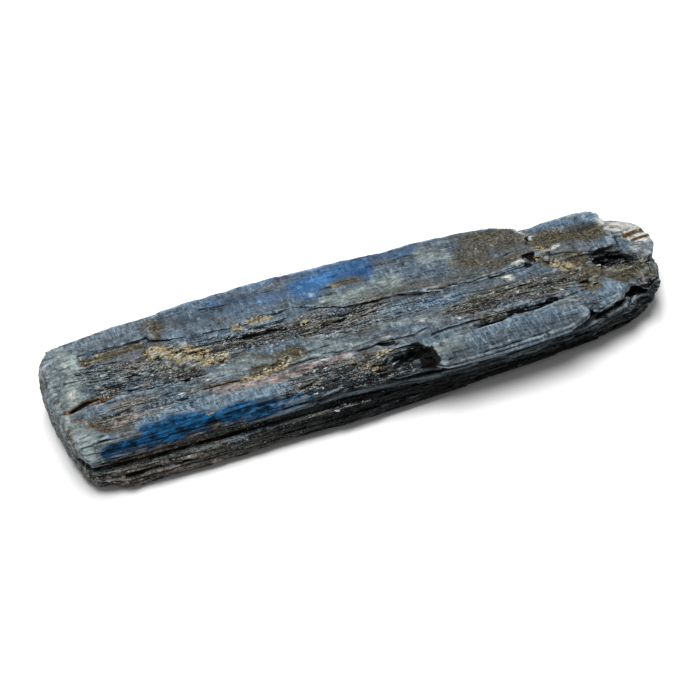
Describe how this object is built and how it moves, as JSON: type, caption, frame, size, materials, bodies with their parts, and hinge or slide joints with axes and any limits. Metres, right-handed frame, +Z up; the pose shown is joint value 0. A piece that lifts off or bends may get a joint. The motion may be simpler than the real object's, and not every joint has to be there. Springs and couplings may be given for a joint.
{
  "type": "kyanite blade cluster",
  "caption": "Long layered stick of raw kyanite: flat blue-gray crystal blades grown side by side, with stepped edges, crevices, pits and a bevelled deep-blue front face.",
  "frame": {"origin": "under the middle of the bounding box, on the surface that the stone lies on", "axes": "+X along the blades towards the stepped end with the white crystal, +Y across the blades towards the straight back edge, +Z up through the layers"},
  "size_m": [0.0994, 0.0271, 0.0093],
  "materials": {
    "kyanite": "raw kyanite stone: blue-gray with deep blue, brown, rust and golden patches, striated along the blades, vitreous to pearly gloss"
  },
  "bodies": {
    "root": {"kyanite_blade_cluster": "kyanite"}
  },
  "joints": []
}
